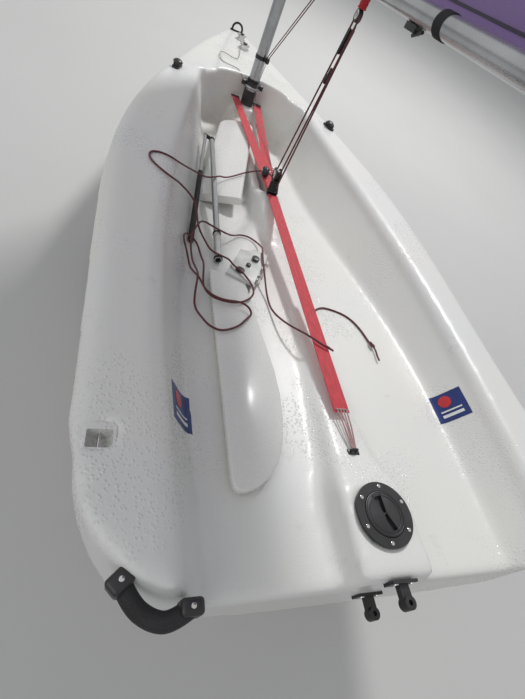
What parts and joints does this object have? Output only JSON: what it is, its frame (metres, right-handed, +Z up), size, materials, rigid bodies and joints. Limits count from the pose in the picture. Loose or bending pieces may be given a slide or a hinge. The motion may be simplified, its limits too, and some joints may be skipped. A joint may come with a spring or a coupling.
{
  "type": "sailing dinghy",
  "caption": "Single-handed sailing dinghy on its launching trolley, with an unstayed mast, boom, sail, toe straps and an unshipped rudder and daggerboard.",
  "frame": {"origin": "on the ground, under the middle of the whole from end to end", "axes": "+X to starboard, +Y towards the bow and the trolley's handle, +Z up"},
  "size_m": [1.4264, 4.2767, 6.1246],
  "materials": {
    "hull_moulding": "pebbled polyethylene",
    "black_plastic": "satin",
    "black_rubber": "matt",
    "black_webbing": "woven, wet",
    "red_webbing": "woven",
    "stainless": "polished",
    "grey_alloy": "anodised",
    "galvanised": "galvanised",
    "white_foil": "gloss",
    "sailcloth": "coated sailcloth",
    "tyre": "matt",
    "wheel_rim": "satin"
  },
  "bodies": {
    "hull": {"hull": "hull_moulding", "mast_collar": "black_plastic", "hatch_ring": "black_plastic", "gudgeon_upper": "stainless", "gudgeon_lower": "stainless", "bow_handle": "black_rubber", "furler_drum": "black_plastic", "tack_block": "black_plastic", "sheet_post": "stainless", "ratchet_block": "black_plastic", "cam_cleat": "black_plastic", "daggerboard": "white_foil", "rudder_blade": "white_foil", "rudder_stock": "black_plastic", "tiller": "grey_alloy", "tiller_sleeve": "black_rubber", "tiller_extension": "grey_alloy", "extension_grip": "black_rubber", "tiller_joint": "black_rubber", "toe_strap_rear": "black_webbing", "toe_strap_port": "black_webbing", "toe_strap_starboard": "black_webbing", "pocket_bar_port": "stainless", "pocket_bar_starboard": "stainless", "fairlead_port": "black_plastic", "fairlead_starboard": "black_plastic", "stern_handle_port": "black_rubber", "stern_handle_starboard": "black_rubber", "trolley_axle": "galvanised", "trolley_spine": "galvanised", "trolley_handle": "galvanised", "cradle_pad_port": "black_rubber", "cradle_pad_starboard": "black_rubber", "bow_chock": "black_rubber"},
    "rig": {"mast_foot": "black_plastic", "mast_lower": "grey_alloy", "mast_upper": "grey_alloy", "mast_joint": "black_plastic", "mast_cap": "black_plastic", "boom": "grey_alloy", "gooseneck": "black_plastic", "boom_end": "black_plastic", "sheet_strop": "red_webbing", "boom_block": "black_plastic", "boom_cleat": "black_plastic", "kicker_lower_block": "black_plastic", "kicker_upper_block": "black_plastic", "sail": "sailcloth"},
    "wheel_port": {"tyre_port": "tyre", "rim_port": "wheel_rim"},
    "wheel_starboard": {"tyre_starboard": "tyre", "rim_starboard": "wheel_rim"},
    "hatch_lid": {"hatch_lid": "black_plastic"}
  },
  "joints": [
    {"name": "mast_turn", "type": "hinge", "parent": "hull", "child": "rig", "pos_m": [0, 0.61017, 0.58485], "axis": [0, 0.1253, 0.9921], "range_deg": [-92, 88]},
    {"name": "wheel_port_spin", "type": "hinge", "parent": "hull", "child": "wheel_port", "pos_m": [-0.645, -0.60862, 0.205], "axis": [1, 0, 0], "continuous": true},
    {"name": "wheel_starboard_spin", "type": "hinge", "parent": "hull", "child": "wheel_starboard", "pos_m": [0.645, -0.60862, 0.205], "axis": [1, 0, 0], "continuous": true},
    {"name": "hatch_lid_turn", "type": "hinge", "parent": "hull", "child": "hatch_lid", "pos_m": [0, -1.93742, 0.8442], "axis": [0, 0.1253, 0.9921], "range_deg": [0, 90]}
  ]
}
